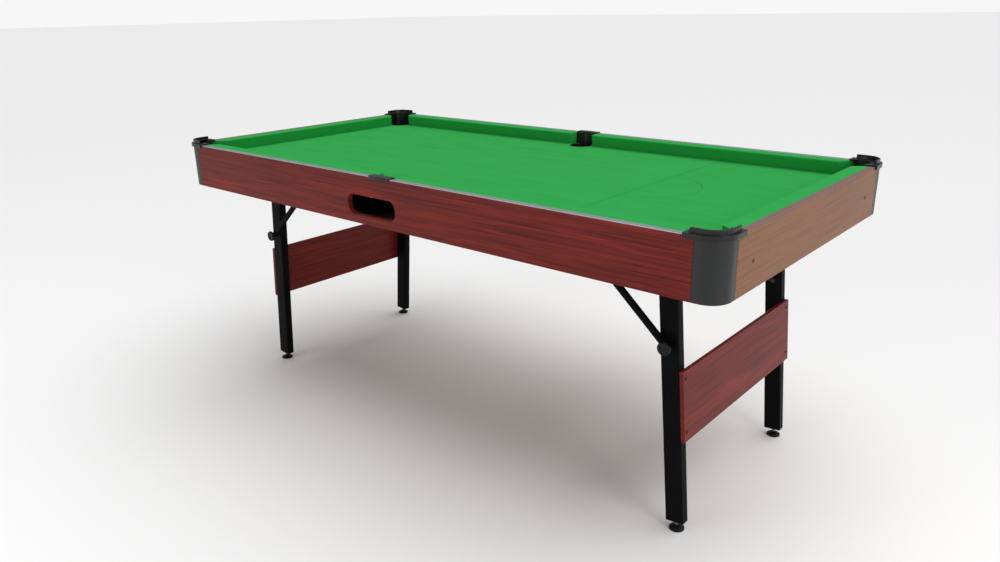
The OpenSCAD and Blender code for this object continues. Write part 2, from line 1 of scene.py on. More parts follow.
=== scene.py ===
# %% [markdown]
# # A folding pool table, dressed around its frame
#
# The frame holds every board, tube, pin and pocket of the table at its true size. This script gives
# them their finishes, rounds off their edges, and makes anew what a plain solid can't show: the cloth
# on the bed, the cushions, the knobs and the feet. Places come from the frame's own boxes, so
# nothing here has to be lined up by eye.

# %% Load the frame
import json
import math

import bmesh
import bpy
import numpy as np
from mathutils import Matrix, Vector


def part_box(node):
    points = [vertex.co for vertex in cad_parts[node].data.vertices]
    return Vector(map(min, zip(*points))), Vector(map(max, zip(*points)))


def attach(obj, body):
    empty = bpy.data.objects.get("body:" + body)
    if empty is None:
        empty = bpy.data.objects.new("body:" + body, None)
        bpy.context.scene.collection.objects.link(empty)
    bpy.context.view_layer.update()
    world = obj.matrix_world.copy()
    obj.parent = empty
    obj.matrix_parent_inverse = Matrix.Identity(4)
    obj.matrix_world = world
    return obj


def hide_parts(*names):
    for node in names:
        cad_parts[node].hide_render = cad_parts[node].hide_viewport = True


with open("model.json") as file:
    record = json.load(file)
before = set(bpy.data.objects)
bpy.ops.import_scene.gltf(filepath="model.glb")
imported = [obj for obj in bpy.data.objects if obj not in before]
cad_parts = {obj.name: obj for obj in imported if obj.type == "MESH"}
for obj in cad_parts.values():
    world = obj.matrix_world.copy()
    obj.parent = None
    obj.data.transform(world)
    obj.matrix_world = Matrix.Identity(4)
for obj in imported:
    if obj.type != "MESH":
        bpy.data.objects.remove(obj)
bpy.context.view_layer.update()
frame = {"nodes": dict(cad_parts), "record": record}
nodes = frame["nodes"]
body_of = {node: body for body, held in frame["record"]["behaviour"]["bodies"].items() for node in held}
slot_of = {row["node"]: row["material_slot"] for row in frame["record"]["subparts"]}

# %% [markdown]
# ## The camera
#
# A camera is a place, three angles and a lens. It stands off the table's front right corner, a
# little above the cushions, so that the long apron, one end and the whole bed all show. Building the
# matrix from its three axes keeps the angles plain: the way it looks, its right hand, and its up.

# %% Camera
CAMERA_AT = Vector((1.4933, -1.7242, 1.1615))
CAMERA_YAW = math.radians(-41.03)
CAMERA_PITCH = math.radians(19.08)
CAMERA_ROLL = math.radians(-1.0)
LENS_MM = 28.6


def add_camera():
    """Axes: forward from yaw and pitch, right level with the floor, then both turned by the roll."""
    forward = Vector((math.sin(CAMERA_YAW) * math.cos(CAMERA_PITCH),
                      math.cos(CAMERA_YAW) * math.cos(CAMERA_PITCH), -math.sin(CAMERA_PITCH)))
    level = Vector((math.cos(CAMERA_YAW), -math.sin(CAMERA_YAW), 0.0))
    plumb = level.cross(forward)
    right = level * math.cos(CAMERA_ROLL) + plumb * math.sin(CAMERA_ROLL)
    up = plumb * math.cos(CAMERA_ROLL) - level * math.sin(CAMERA_ROLL)
    data = bpy.data.cameras.new("camera")
    data.lens = LENS_MM
    camera = bpy.data.objects.new("camera", data)
    turn = Matrix((right, up, -forward)).transposed().to_4x4()
    camera.matrix_world = Matrix.Translation(CAMERA_AT) @ turn
    bpy.context.collection.objects.link(camera)
    bpy.context.scene.camera = camera
    return camera


camera = add_camera()
print("camera at", [round(v, 3) for v in CAMERA_AT], "lens", LENS_MM, "mm")

# %% [markdown]
# ## Floor and light
#
# The room is a pale floor under a wide soft sun, as a ceiling of lamps gives, with a weak even sky. A
# panel beyond the right end rakes the end board, and one in front keeps the long apron readable. The
# sky that lights the table is dimmer than the backdrop that shows behind it, or every vertical face
# would be as bright as the cloth: Light Path tells the two apart.

# %% Floor, world and lights
FLOOR_REACH = 80.0
FLOOR_TONE = (0.90, 0.90, 0.90, 1.0)
SKY_STRENGTH = 0.30
BACKDROP_STRENGTH = 0.93
SUN_STRENGTH = 2.15
SUN_SPREAD = math.radians(75)
SUN_TILT = (math.radians(-12), math.radians(10), 0.0)


def add_floor():
    """One flat quad at height zero, far larger than the table."""
    data = bpy.data.meshes.new("floor")
    r = FLOOR_REACH
    data.from_pydata([(-r, -r, 0), (r, -r, 0), (r, r, 0), (-r, r, 0)], [], [(0, 1, 2, 3)])
    floor = bpy.data.objects.new("floor", data)
    bpy.context.collection.objects.link(floor)
    material = bpy.data.materials.new("pale_floor")
    material.use_nodes = True
    shader = material.node_tree.nodes["Principled BSDF"]
    shader.inputs["Base Color"].default_value = FLOOR_TONE
    shader.inputs["Roughness"].default_value = 0.9
    data.materials.append(material)
    return floor


def add_world():
    """Two plain backgrounds: the dimmer one lights, the brighter one is what the camera sees."""
    world = bpy.data.worlds.new("soft_room")
    world.use_nodes = True
    tree = world.node_tree
    sky = tree.nodes["Background"]
    backdrop = tree.nodes.new("ShaderNodeBackground")
    for node, strength in ((sky, SKY_STRENGTH), (backdrop, BACKDROP_STRENGTH)):
        node.inputs["Color"].default_value = (1.0, 1.0, 1.0, 1.0)
        node.inputs["Strength"].default_value = strength
    choose = tree.nodes.new("ShaderNodeMixShader")
    tree.links.new(tree.nodes.new("ShaderNodeLightPath").outputs["Is Camera Ray"], choose.inputs[0])
    tree.links.new(sky.outputs[0], choose.inputs[1])
    tree.links.new(backdrop.outputs[0], choose.inputs[2])
    tree.links.new(choose.outputs[0], tree.nodes["World Output"].inputs["Surface"])
    return world


def add_sun():
    """A sun nearly overhead; its wide angle is what makes it soft."""
    data = bpy.data.lights.new("ceiling", "SUN")
    data.energy = SUN_STRENGTH
    data.angle = SUN_SPREAD
    sun = bpy.data.objects.new("ceiling", data)
    sun.rotation_euler = SUN_TILT
    bpy.context.collection.objects.link(sun)
    return sun


def add_light(name, at, towards, size, power):
    """A square panel of light that faces a point."""
    data = bpy.data.lights.new(name, "AREA")
    data.size = size
    data.energy = power
    light = bpy.data.objects.new(name, data)
    light.location = at
    light.rotation_euler = (Vector(towards) - Vector(at)).to_track_quat("-Z", "Y").to_euler()
    bpy.context.collection.objects.link(light)
    return light


floor = add_floor()
bpy.context.scene.world = add_world()
bpy.context.scene.view_settings.view_transform = "Standard"
lights = [
    add_sun(),
    add_light("right_end", (3.3, -0.9, 1.4), (0.9, 0.0, 0.6), 1.3, 20),
    add_light("front", (-1.2, -3.6, 1.6), (0.0, -0.4, 0.6), 2.2, 22),
]
print("lights:", [light.name for light in lights])

# %% [markdown]
# ## Shared effects
#
# Three effects turn up on many finishes, so each is a node group with named sockets: printed grain,
# a woven nap, and the fine pebble of moulded plastic or powder coat. A group puts out only values
# that change over the surface, and every constant stays on the shader's own socket.

# %% Group helpers
def new_group(name, inputs, outputs):
    """A shader node group; inputs and outputs are lists of (name, socket type, default)."""
    group = bpy.data.node_groups.new(name, "ShaderNodeTree")
    for label, kind, default in inputs:
        socket = group.interface.new_socket(label, in_out="INPUT", socket_type=kind)
        if default is not None:
            socket.default_value = default
    for label, kind in outputs:
        group.interface.new_socket(label, in_out="OUTPUT", socket_type=kind)
    return group, group.nodes.new("NodeGroupInput"), group.nodes.new("NodeGroupOutput")


def math_node(tree, operation, a, b=None):
    """A Math node whose operands are sockets or plain numbers."""
    node = tree.nodes.new("ShaderNodeMath")
    node.operation = operation
    for slot, value in enumerate((a, b)):
        if value is None:
            continue
        if hasattr(value, "is_linked"):
            tree.links.new(value, node.inputs[slot])
        else:
            node.inputs[slot].default_value = value
    return node.outputs[0]


def noise_node(tree, vector, scale, detail=2.0, rough=0.5, distortion=0.0):
    """A Noise texture on a vector socket."""
    node = tree.nodes.new("ShaderNodeTexNoise")
    tree.links.new(vector, node.inputs["Vector"])
    node.inputs["Scale"].default_value = scale
    node.inputs["Detail"].default_value = detail
    node.inputs["Roughness"].default_value = rough
    node.inputs["Distortion"].default_value = distortion
    return node.outputs["Fac"]


def stretch(tree, vector, scale):
    """The vector with each axis scaled."""
    node = tree.nodes.new("ShaderNodeMapping")
    tree.links.new(vector, node.inputs["Vector"])
    node.inputs["Scale"].default_value = scale
    return node.outputs["Vector"]


def mix_colour(tree, amount, a, b):
    """Blend of two colours; each may be a socket or an RGBA tuple."""
    node = tree.nodes.new("ShaderNodeMix")
    node.data_type = "RGBA"
    for key, value in ((0, amount), (6, a), (7, b)):
        if hasattr(value, "is_linked"):
            tree.links.new(value, node.inputs[key])
        else:
            node.inputs[key].default_value = value
    return node.outputs[2]


def remap(tree, value, low, high):
    """Straight ramp that is 0 at low and 1 at high, held at both ends."""
    node = tree.nodes.new("ShaderNodeMapRange")
    tree.links.new(value, node.inputs["Value"])
    node.inputs["From Min"].default_value = low
    node.inputs["From Max"].default_value = high
    return node.outputs["Result"]


print("helpers ready")

# %% [markdown]
# ### Printed grain
#
# Cabinet boards on such tables are chipboard with a printed foil. Its pattern is long wandering
# flames with fine pores along them. Taking a sine of the height across the board, after a slow noise
# has bent it, gives the flames, and a noise stretched along the board gives streaks and pores.

# %% Printed grain group
def grain_group():
    """Along is the coordinate along the grain, Across the one across it, both in metres."""
    group, given, out = new_group(
        "printed_grain",
        [("Along", "NodeSocketFloat", 0.0), ("Across", "NodeSocketFloat", 0.0),
         ("Base", "NodeSocketColor", None), ("Dark", "NodeSocketColor", None),
         ("Red", "NodeSocketColor", None)],
        [("Color", "NodeSocketColor"), ("Height", "NodeSocketFloat")])
    join = group.nodes.new("ShaderNodeCombineXYZ")
    group.links.new(given.outputs["Along"], join.inputs[0])
    group.links.new(given.outputs["Across"], join.inputs[1])
    spot = join.outputs[0]
    slow = noise_node(group, stretch(group, spot, (1.5, 9.0, 1.0)), 1.0, 3.0, 0.55, 0.4)
    bend = math_node(group, "MULTIPLY", math_node(group, "SUBTRACT", slow, 0.5), 34.0)
    rings = math_node(group, "SINE", math_node(group, "ADD", math_node(
        group, "MULTIPLY", given.outputs["Across"], 210.0), bend))
    flame = remap(group, rings, -0.7, 1.0)
    streak = noise_node(group, stretch(group, spot, (3.5, 170.0, 1.0)), 1.0, 5.0, 0.6)
    pores = noise_node(group, stretch(group, spot, (26.0, 950.0, 1.0)), 1.0, 2.0, 0.6)
    broad = noise_node(group, stretch(group, spot, (0.9, 14.0, 1.0)), 1.0, 2.0, 0.5)
    dark = math_node(group, "MULTIPLY", remap(group, streak, 0.46, 0.68), 0.75)
    tone = mix_colour(group, dark, given.outputs["Base"], given.outputs["Dark"])
    red = math_node(group, "MULTIPLY", math_node(group, "MULTIPLY", flame, remap(group, streak, 0.62, 0.34)),
                    remap(group, broad, 0.36, 0.62))
    tone = mix_colour(group, math_node(group, "MULTIPLY", red, 0.85), tone, given.outputs["Red"])
    fine = math_node(group, "MULTIPLY", remap(group, pores, 0.60, 0.75), 0.5)
    tone = mix_colour(group, fine, tone, given.outputs["Dark"])
    group.links.new(tone, out.inputs["Color"])
    group.links.new(math_node(group, "SUBTRACT", streak, fine), out.inputs["Height"])
    return group


GRAIN = grain_group()
print("group:", GRAIN.name)

# %% [markdown]
# ### Nap and pebble
#
# Playing cloth is a close weave with a brushed nap, so it shows soft mottling and no bright thread.
# Plastic and powder coat are the opposite: an even colour whose gloss is broken up by tiny bumps.

# %% Nap and pebble groups
def nap_group():
    """Mottled colour and a fine thread height for woollen cloth."""
    group, given, out = new_group(
        "woven_nap",
        [("Vector", "NodeSocketVector", None), ("Base", "NodeSocketColor", None),
         ("Deep", "NodeSocketColor", None)],
        [("Color", "NodeSocketColor"), ("Height", "NodeSocketFloat")])
    spot = given.outputs["Vector"]
    fibre = noise_node(group, spot, 1500.0, 3.0, 0.7)
    lay = noise_node(group, stretch(group, spot, (6.0, 26.0, 26.0)), 1.0, 3.0, 0.5)
    thread = group.nodes.new("ShaderNodeTexWave")
    thread.wave_type = "BANDS"
    thread.bands_direction = "DIAGONAL"
    group.links.new(spot, thread.inputs["Vector"])
    thread.inputs["Scale"].default_value = 260.0
    thread.inputs["Distortion"].default_value = 1.5
    amount = math_node(group, "ADD", math_node(group, "MULTIPLY", remap(group, fibre, 0.35, 0.7), 0.30),
                       math_node(group, "MULTIPLY", remap(group, lay, 0.35, 0.7), 0.35))
    tone = mix_colour(group, amount, given.outputs["Base"], given.outputs["Deep"])
    group.links.new(tone, out.inputs["Color"])
    group.links.new(math_node(group, "ADD", fibre, math_node(
        group, "MULTIPLY", thread.outputs["Fac"], 0.4)), out.inputs["Height"])
    return group


def pebble_group():
    """Fine bumps, a slow drift in gloss, and a faint tone change for moulded and coated surfaces."""
    group, given, out = new_group(
        "fine_pebble",
        [("Vector", "NodeSocketVector", None), ("Size", "NodeSocketFloat", 900.0),
         ("Rough", "NodeSocketFloat", 0.45), ("Base", "NodeSocketColor", None),
         ("Worn", "NodeSocketColor", None)],
        [("Color", "NodeSocketColor"), ("Roughness", "NodeSocketFloat"), ("Height", "NodeSocketFloat")])
    spot = given.outputs["Vector"]
    grit = group.nodes.new("ShaderNodeTexNoise")
    group.links.new(spot, grit.inputs["Vector"])
    group.links.new(given.outputs["Size"], grit.inputs["Scale"])
    grit.inputs["Detail"].default_value = 2.0
    drift = noise_node(group, spot, 14.0, 3.0, 0.6)
    specks = remap(group, grit.outputs["Fac"], 0.55, 0.75)
    amount = math_node(group, "ADD", math_node(group, "MULTIPLY", specks, 0.35),
                       math_node(group, "MULTIPLY", remap(group, drift, 0.4, 0.7), 0.3))
    group.links.new(mix_colour(group, amount, given.outputs["Base"], given.outputs["Worn"]),
                    out.inputs["Color"])
    swing = math_node(group, "MULTIPLY", math_node(group, "SUBTRACT", drift, 0.5), 0.22)
    group.links.new(math_node(group, "ADD", given.outputs["Rough"], swing), out.inputs["Roughness"])
    group.links.new(grit.outputs["Fac"], out.inputs["Height"])
    return group


NAP = nap_group()
PEBBLE = pebble_group()
print("groups:", NAP.name, PEBBLE.name)

# %% [markdown]
# ## Finishes
#
# Each finish is a Principled shader fed by one of the groups. The same grain serves all the boards:
# what changes is which way it runs and its three colours.

# %% Finish helpers
def start_material(name):
    """A new material with its shader and a place socket in the table's own metres."""
    material = bpy.data.materials.new(name)
    material.use_nodes = True
    tree = material.node_tree
    place = tree.nodes.new("ShaderNodeTexCoord").outputs["Object"]
    return material, tree, tree.nodes["Principled BSDF"], place


def use_group(tree, group, **values):
    """Places a group; a value may be a socket, a number or a colour."""
    node = tree.nodes.new("ShaderNodeGroup")
    node.node_tree = group
    for label, value in values.items():
        if hasattr(value, "is_linked"):
            tree.links.new(value, node.inputs[label])
        else:
            node.inputs[label].default_value = value
    return node


def bump(tree, shader, height, strength, distance):
    """A bump on the shader's normal from a height socket."""
    node = tree.nodes.new("ShaderNodeBump")
    node.inputs["Strength"].default_value = strength
    node.inputs["Distance"].default_value = distance
    tree.links.new(height, node.inputs["Height"])
    tree.links.new(node.outputs["Normal"], shader.inputs["Normal"])


def board_finish(name, along, base, dark, red, rough=0.38, gloss=0.12):
    """Printed board whose grain runs along one axis, named 0, 1 or 2; height is always across."""
    material, tree, shader, place = start_material(name)
    parts = tree.nodes.new("ShaderNodeSeparateXYZ")
    tree.links.new(place, parts.inputs[0])
    across = math_node(tree, "ADD", parts.outputs[2],
                       math_node(tree, "MULTIPLY", parts.outputs[1 - along], 0.35))
    grain = use_group(tree, GRAIN, Along=parts.outputs[along], Across=across, Base=base, Dark=dark, Red=red)
    tree.links.new(grain.outputs["Color"], shader.inputs["Base Color"])
    shader.inputs["Roughness"].default_value = rough
    shader.inputs["Specular IOR Level"].default_value = gloss
    bump(tree, shader, grain.outputs["Height"], 0.15, 0.0004)
    return material


def pebble_finish(name, base, worn, rough, size=900.0, depth=0.0002, metal=0.0, gloss=0.5):
    """Moulded plastic, powder coat or plated steel."""
    material, tree, shader, place = start_material(name)
    grit = use_group(tree, PEBBLE, Vector=place, Size=size, Rough=rough, Base=base, Worn=worn)
    tree.links.new(grit.outputs["Color"], shader.inputs["Base Color"])
    tree.links.new(grit.outputs["Roughness"], shader.inputs["Roughness"])
    shader.inputs["Metallic"].default_value = metal
    shader.inputs["Specular IOR Level"].default_value = gloss
    bump(tree, shader, grit.outputs["Height"], 0.3, depth)
    return material


def cloth_finish(name, base, deep, marks=False):
    """Playing cloth; with marks, the baulk line and its half circle are drawn on it."""
    material, tree, shader, place = start_material(name)
    nap = use_group(tree, NAP, Vector=place, Base=base, Deep=deep)
    colour = nap.outputs["Color"]
    if marks:
        colour = mix_colour(tree, marking_mask(tree, place), colour, MARK_TONE)
    tree.links.new(colour, shader.inputs["Base Color"])
    shader.inputs["Roughness"].default_value = 0.92
    shader.inputs["Sheen Weight"].default_value = 0.03
    shader.inputs["Sheen Roughness"].default_value = 0.5
    shader.inputs["Specular IOR Level"].default_value = 0.05
    bump(tree, shader, nap.outputs["Height"], 0.35, 0.0003)
    return material


print("finish helpers ready")

# %% [markdown]
# ### Markings on the bed
#
# The baulk line and the D are drawn with a marker on the cloth. A mask worked out from the distance
# to the line, and to the circle, keeps them crisp at any size and needs no picture.

# %% Markings
BAULK_X = 0.488
D_RADIUS = 0.135
MARK_WIDTH = 0.0016
MARK_TONE = (0.012, 0.11, 0.045, 1.0)


def marking_mask(tree, place):
    """1 on the line across the bed and on the half circle beyond it, 0 elsewhere."""
    parts = tree.nodes.new("ShaderNodeSeparateXYZ")
    tree.links.new(place, parts.inputs[0])
    beyond = math_node(tree, "SUBTRACT", parts.outputs[0], BAULK_X)
    off_line = math_node(tree, "ABSOLUTE", beyond)
    line = math_node(tree, "LESS_THAN", off_line, MARK_WIDTH / 2)
    reach = math_node(tree, "SQRT", math_node(tree, "ADD", math_node(tree, "MULTIPLY", beyond, beyond),
                                             math_node(tree, "MULTIPLY", parts.outputs[1], parts.outputs[1])))
    off_ring = math_node(tree, "ABSOLUTE", math_node(tree, "SUBTRACT", reach, D_RADIUS))
    ring = math_node(tree, "MULTIPLY", math_node(tree, "LESS_THAN", off_ring, MARK_WIDTH / 2),
                     math_node(tree, "GREATER_THAN", beyond, 0.0))
    return math_node(tree, "MULTIPLY", math_node(tree, "MAXIMUM", line, ring), 0.7)


print("baulk line at", BAULK_X, "m, D radius", D_RADIUS, "m")

# %% Make the finishes
CHERRY = ((0.170, 0.019, 0.014, 1), (0.060, 0.009, 0.008, 1), (0.290, 0.027, 0.017, 1))
# Painted light: the end aprons' grain colours are drawn paler and browner for the wash of strong light from
# the right.
END_BOARD_PAINTED_LIGHT = ((0.235, 0.110, 0.052, 1), (0.160, 0.064, 0.032, 1), (0.280, 0.086, 0.040, 1))
GREEN = ((0.026, 0.385, 0.075, 1), (0.018, 0.310, 0.056, 1))
finish = {
    "cherry_board": board_finish("cherry_board", 0, *CHERRY),
    "cherry_cross": board_finish("cherry_cross", 1, *CHERRY),
    "brown_board": board_finish("brown_board", 1, *END_BOARD_PAINTED_LIGHT),
    "red_edging": pebble_finish("red_edging", (0.13, 0.008, 0.006, 1), (0.20, 0.016, 0.010, 1), 0.4,
                                gloss=0.12),
    "silver_trim": pebble_finish("silver_trim", (0.40, 0.43, 0.47, 1), (0.50, 0.53, 0.56, 1), 0.30,
                                 metal=0.6),
    # Painted reflection: the end trims are the same trim as the long ones, drawn brown-pink for the brownish
    # surround they reflect.
    "brown_trim": pebble_finish("brown_trim", (0.20, 0.11, 0.105, 1), (0.28, 0.17, 0.16, 1), 0.4, gloss=0.3),
    "raw_timber": board_finish("raw_timber", 0, (0.45, 0.29, 0.15, 1), (0.33, 0.19, 0.09, 1),
                               (0.52, 0.33, 0.17, 1), rough=0.75),
    "bed_green": cloth_finish("bed_green", *GREEN, marks=True),
    "green_cloth": cloth_finish("green_cloth", *GREEN),
    "cushion_rubber": pebble_finish("cushion_rubber", (0.02, 0.02, 0.02, 1), (0.05, 0.05, 0.05, 1), 0.8),
    "black_plastic": pebble_finish("black_plastic", (0.009, 0.010, 0.010, 1), (0.019, 0.020, 0.020, 1), 0.36,
                                   size=700.0, depth=0.0003, gloss=0.4),
    "pocket_plastic": pebble_finish("pocket_plastic", (0.006, 0.006, 0.007, 1), (0.014, 0.014, 0.015, 1),
                                    0.28,
                                    gloss=0.35),
    "channel_plastic": pebble_finish("channel_plastic", (0.012, 0.012, 0.013, 1), (0.03, 0.03, 0.03, 1), 0.5,
                                     gloss=0.25),
    "black_steel": pebble_finish("black_steel", (0.004, 0.004, 0.005, 1), (0.009, 0.009, 0.010, 1), 0.40,
                                 size=1300.0, gloss=0.03),
    "knob_plastic": pebble_finish("knob_plastic", (0.008, 0.008, 0.009, 1), (0.018, 0.018, 0.019, 1), 0.35,
                                  size=700.0, gloss=0.15),
    "bright_steel": pebble_finish("bright_steel", (0.30, 0.30, 0.31, 1), (0.45, 0.45, 0.46, 1), 0.35,
                                  metal=0.9),
    "dark_screw": pebble_finish("dark_screw", (0.02, 0.018, 0.018, 1), (0.06, 0.05, 0.05, 1), 0.35,
                                metal=0.7),
}
print("finishes:", len(finish))

# %% [markdown]
# ## Rounding the boards, shells and steelwork
#
# A drawn solid has edges of no width, which catch no light. Real boards have a broken edge, mouldings
# have a small radius, and a sawn tube has a burr filed off. Each of those pieces is a copy of the
# frame's own solid: its loose triangles are welded, its flat faces are merged, and a Bevel modifier
# then rounds every edge sharper than thirty degrees. The solid itself stays as it was.

# %% Copy, weld and round one solid
WELD = 1e-6
FLAT = math.radians(0.4)
SHARP = math.radians(30)


def rounded_copy(node, edge, finishes, pick=None):
    """A welded copy of a node with its edges rounded by edge metres. pick gives a face's finish number."""
    data = nodes[node].data.copy()
    data.name = node + "_finished"
    data.transform(nodes[node].matrix_world)
    shape = bmesh.new()
    shape.from_mesh(data)
    bmesh.ops.remove_doubles(shape, verts=shape.verts, dist=WELD)
    bmesh.ops.dissolve_limit(shape, angle_limit=FLAT, verts=shape.verts, edges=shape.edges)
    shape.normal_update()
    for face in shape.faces:
        face.smooth = True
        face.material_index = pick(face) if pick else 0
    shape.to_mesh(data)
    shape.free()
    data.materials.clear()
    for name in finishes:
        data.materials.append(finish[name])
    data.set_sharp_from_angle(angle=SHARP)
    piece = bpy.data.objects.new(node + "_piece", data)
    bpy.context.collection.objects.link(piece)
    if edge:
        bevel = piece.modifiers.new("edge", "BEVEL")
        bevel.width = edge
        bevel.segments = 2
        bevel.limit_method = "ANGLE"
        bevel.angle_limit = SHARP
        bevel.use_clamp_overlap = False
        bevel.harden_normals = True
    settle(piece, node)
    return piece


def settle(piece, *stood_for):
    """The piece rides, shows and is finished in place of the solids it stands for."""
    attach(piece, body_of[stood_for[0]])
    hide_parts(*stood_for)


print("edges sharper than", round(math.degrees(SHARP)), "degrees get rounded")

# %% [markdown]
# ### Boards
#
# The long aprons and the two stretchers are the cherry foil. The end aprons carry the same grain painted
# paler and browner: painted light, for the wash of strong light from the right. The stretchers' narrow
# edges carry a plain dark red band, which is picked out by the way a face looks.

# %% Boards
BOARD_EDGE = 0.0007
BAND_COSINE = 0.75


def band_picker(node):
    """Finish 0 on the two broad faces of a panel and 1 on its narrow ones."""
    areas = {}
    for polygon in nodes[node].data.polygons:
        key = tuple(np.round(np.abs(polygon.normal), 2))
        areas[key] = areas.get(key, 0.0) + polygon.area
    broad = Vector(max(areas, key=areas.get))

    def pick(face):
        facing = Vector([abs(v) for v in face.normal]).dot(broad)
        return 0 if facing > BAND_COSINE else 1
    return pick


for node in ("front_apron", "rear_apron"):
    rounded_copy(node, BOARD_EDGE, ["cherry_board"])
# The end aprons' board is painted paler and browner, as painted light from the strong light on the right.
for node in ("left_apron", "right_apron"):
    rounded_copy(node, BOARD_EDGE, ["brown_board", "red_edging"], band_picker(node))
for node in ("stretcher_left", "stretcher_right"):
    rounded_copy(node, 0.0012, ["cherry_cross", "red_edging"], band_picker(node))
for node in ("bed_board", "bed_battens", "corner_blocks", "cushion_rails"):
    rounded_copy(node, 0.0, ["raw_timber"])
# The end trims take the brown-pink trim, a painted reflection of a brownish surround.
for node, name in (("long_trims", "silver_trim"), ("end_trims", "brown_trim")):
    rounded_copy(node, 0.0005, [name])
print("boards and trims done")

# %% [markdown]
# ### Mouldings and steelwork
#
# The pocket mouldings are glossier than the corner covers, so they get their own finish and a larger
# radius, which is what draws the bright line along their rims.

# %% Mouldings and steelwork
rounding = {"black_plastic": 0.0010, "pocket_plastic": 0.0009, "channel_plastic": 0.0004,
            "black_steel": 0.0004,
            "bright_steel": 0.0004, "cushion_rubber": 0.0}
made_anew = ("cushion_cloth", "bed_cloth", "knob", "foot")
stretcher_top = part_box("stretcher_left")[1][2]


def nut_picker(face):
    """Finish 1, bright, on the nuts above the stretcher, and 0 on the stretcher's own screws."""
    return 1 if face.calc_center_median().z > stretcher_top else 0


for node, slot in slot_of.items():
    if node.startswith("leg_fasteners"):
        rounded_copy(node, rounding[slot], ["dark_screw", slot], nut_picker)
    elif slot in rounding and not node.startswith(made_anew):
        rounded_copy(node, rounding[slot], ["dark_screw" if node == "frame_screws" else slot])
print("mouldings and steelwork done")

# %% [markdown]
# ## New surfaces
#
# A shape that is a grid of points needs only two rules: where point (row, column) is, and which
# neighbours make a face. Columns may close into a ring. The faces come from whole arrays of indices,
# so no loop walks over the points.

# %% Grids to meshes
def grid_faces(rows, columns, ring, start=0):
    """Quads between neighbouring rows; with ring, the last column joins the first."""
    r = np.arange(rows - 1)[:, None]
    c = np.arange(columns if ring else columns - 1)[None, :]
    after = (c + 1) % columns
    quads = np.stack([r * columns + c, r * columns + after, (r + 1) * columns + after,
                      (r + 1) * columns + c], -1)
    return (quads.reshape(-1, 4) + start).tolist()


def add_piece(name, points, faces, materials):
    """A smooth mesh object at the origin, with faces made to point outwards."""
    data = bpy.data.meshes.new(name)
    data.from_pydata(points.tolist(), [], faces)
    shape = bmesh.new()
    shape.from_mesh(data)
    bmesh.ops.remove_doubles(shape, verts=shape.verts, dist=WELD)
    bmesh.ops.recalc_face_normals(shape, faces=shape.faces)
    shape.to_mesh(data)
    shape.free()
    data.shade_smooth()
    data.set_sharp_from_angle(angle=math.radians(40))
    for material in materials:
        data.materials.append(material)
    piece = bpy.data.objects.new(name, data)
    bpy.context.collection.objects.link(piece)
    return piece


def turned(profile, around=64):
    """Points of a lathe shape: profile is (radius, height) pairs, turned about the height axis."""
    radius, height = np.array(profile).T
    angle = np.linspace(0, 2 * np.pi, around, endpoint=False)
    x = radius[:, None] * np.cos(angle)
    y = radius[:, None] * np.sin(angle)
    z = np.repeat(height[:, None], around, axis=1)
    return np.stack([x, y, z], -1).reshape(-1, 3)


def quarter_round(centre, radius, start, stop, count=6):
    """Points on an arc in the profile plane; angles in degrees from the radius axis."""
    angle = np.radians(np.linspace(start, stop, count))
    return [(centre[0] + radius * math.cos(a), centre[1] + radius * math.sin(a)) for a in angle]


print("grid helpers ready")

# %% [markdown]
# ### Cushions
#
# A cushion is a rubber strip on a timber rail with cloth pulled tight over both. Its section has a
# flat top, a rounded nose and a face that falls back to the bed, and the cloth turns each end into
# the pocket over a jaw cut at an angle. The surface is that section carried from jaw to jaw: each point
# of the section has its own start and finish, worked out from the jaws' angles, and the first and last
# few rows shrink along a quarter circle, so the cloth rounds the jaw. Being stretched over solid
# rubber, it doesn't billow, so it needs no simulation.

# %% Cushions
CORNER_JAW = math.radians(55)
SIDE_JAW = math.radians(12)
FACE_UNDERCUT = 0.0072
NOSE_DROP = 0.0028
NOSE_RADIUS = 0.0026
JAW_ROUND = 0.0032
JAW_ROWS = 7


def cushion_section(depth, height):
    """Closed section as (distance in, height), anticlockwise: foot, face, nose, top, back."""
    foot = depth - FACE_UNDERCUT
    face_top = (depth, height - NOSE_DROP - 0.001)
    nose = quarter_round((depth - NOSE_RADIUS, height - NOSE_RADIUS - 0.0004), NOSE_RADIUS, 0, 84, 8)
    rise = np.linspace(0, 1, 10)[1:-1]
    face = [(foot + (face_top[0] - foot) * t, face_top[1] * t) for t in rise]
    crown = np.linspace(0, 1, 14)
    top_from, top_to = nose[-1], (0.0022, height - 0.0003)
    top = [(top_from[0] + (top_to[0] - top_from[0]) * t,
            top_from[1] + (top_to[1] - top_from[1]) * t + 0.0003 * math.sin(math.pi * t)) for t in crown[1:]]
    back = quarter_round((0.0018, height - 0.0023), 0.0018, 100, 180, 5)
    base = [(foot * t, 0.0002) for t in np.linspace(0, 1, 8)]
    return np.array([*face, face_top, *nose, *top, *back, *base])


def inset(section, by):
    """The section moved inwards along its own normals, for the rounded jaws."""
    ahead = np.roll(section, -1, axis=0) - np.roll(section, 1, axis=0)
    normal = np.stack([ahead[:, 1], -ahead[:, 0]], -1)
    normal /= np.linalg.norm(normal, axis=1, keepdims=True) + 1e-12
    return section - normal * by


